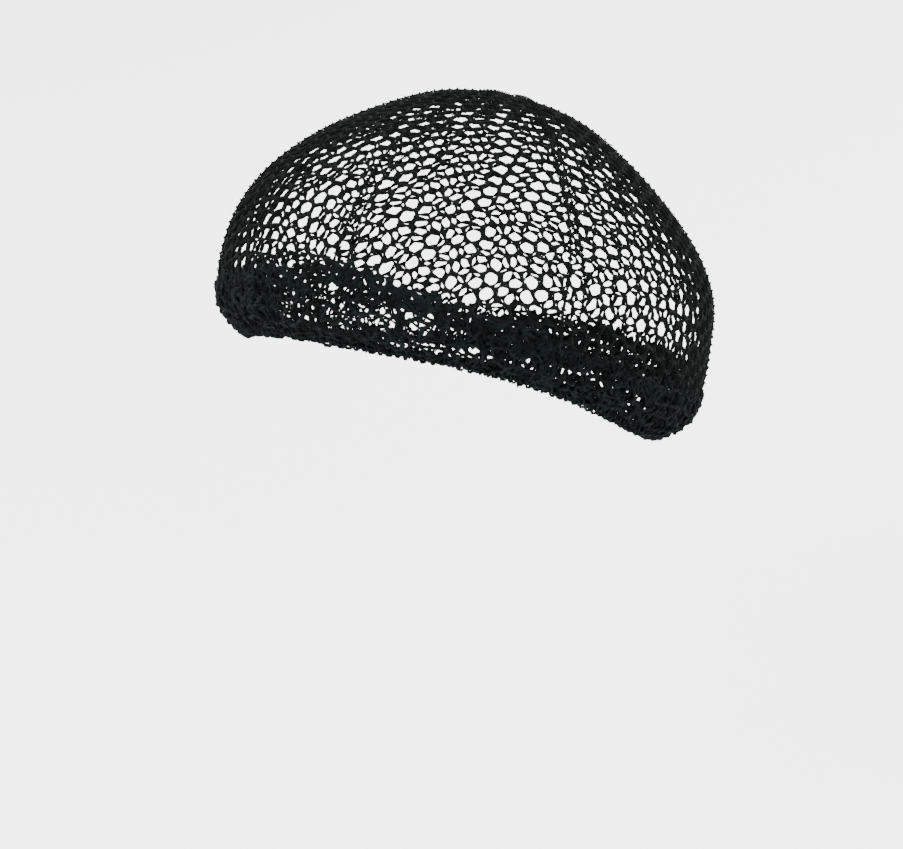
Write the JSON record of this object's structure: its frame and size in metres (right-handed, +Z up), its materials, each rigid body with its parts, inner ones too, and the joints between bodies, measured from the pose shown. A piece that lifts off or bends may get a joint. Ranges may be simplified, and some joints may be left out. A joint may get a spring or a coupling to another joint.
{
  "type": "mesh cap",
  "caption": "Soft black hair cap of coarse hexagonal net, sewn from gores, with a leaning full crown, a dark gathered band and a scalloped elastic rim.",
  "frame": {"origin": "middle of the rim opening that the head goes in by", "axes": "+Z up as worn, -Y ahead over the forehead, +X to the wearer's left"},
  "size_m": [0.1956, 0.2052, 0.1602],
  "materials": {
    "net_yarn": "matt knotted yarn",
    "seam_yarn": "matt sewn yarn",
    "band_yarn": "matt gathered net",
    "elastic_yarn": "yarn crocheted over an elastic cord"
  },
  "bodies": {
    "root": {"gore_front_left": "net_yarn", "gore_left": "net_yarn", "gore_back_left": "net_yarn", "gore_back_right": "net_yarn", "gore_right": "net_yarn", "gore_front_right": "net_yarn", "seam_front_back": "seam_yarn", "seam_front_left": "seam_yarn", "seam_back_left": "seam_yarn", "seam_front_right": "seam_yarn", "seam_back_right": "seam_yarn", "gathered_band": "band_yarn", "rim_elastic": "elastic_yarn"}
  },
  "joints": []
}
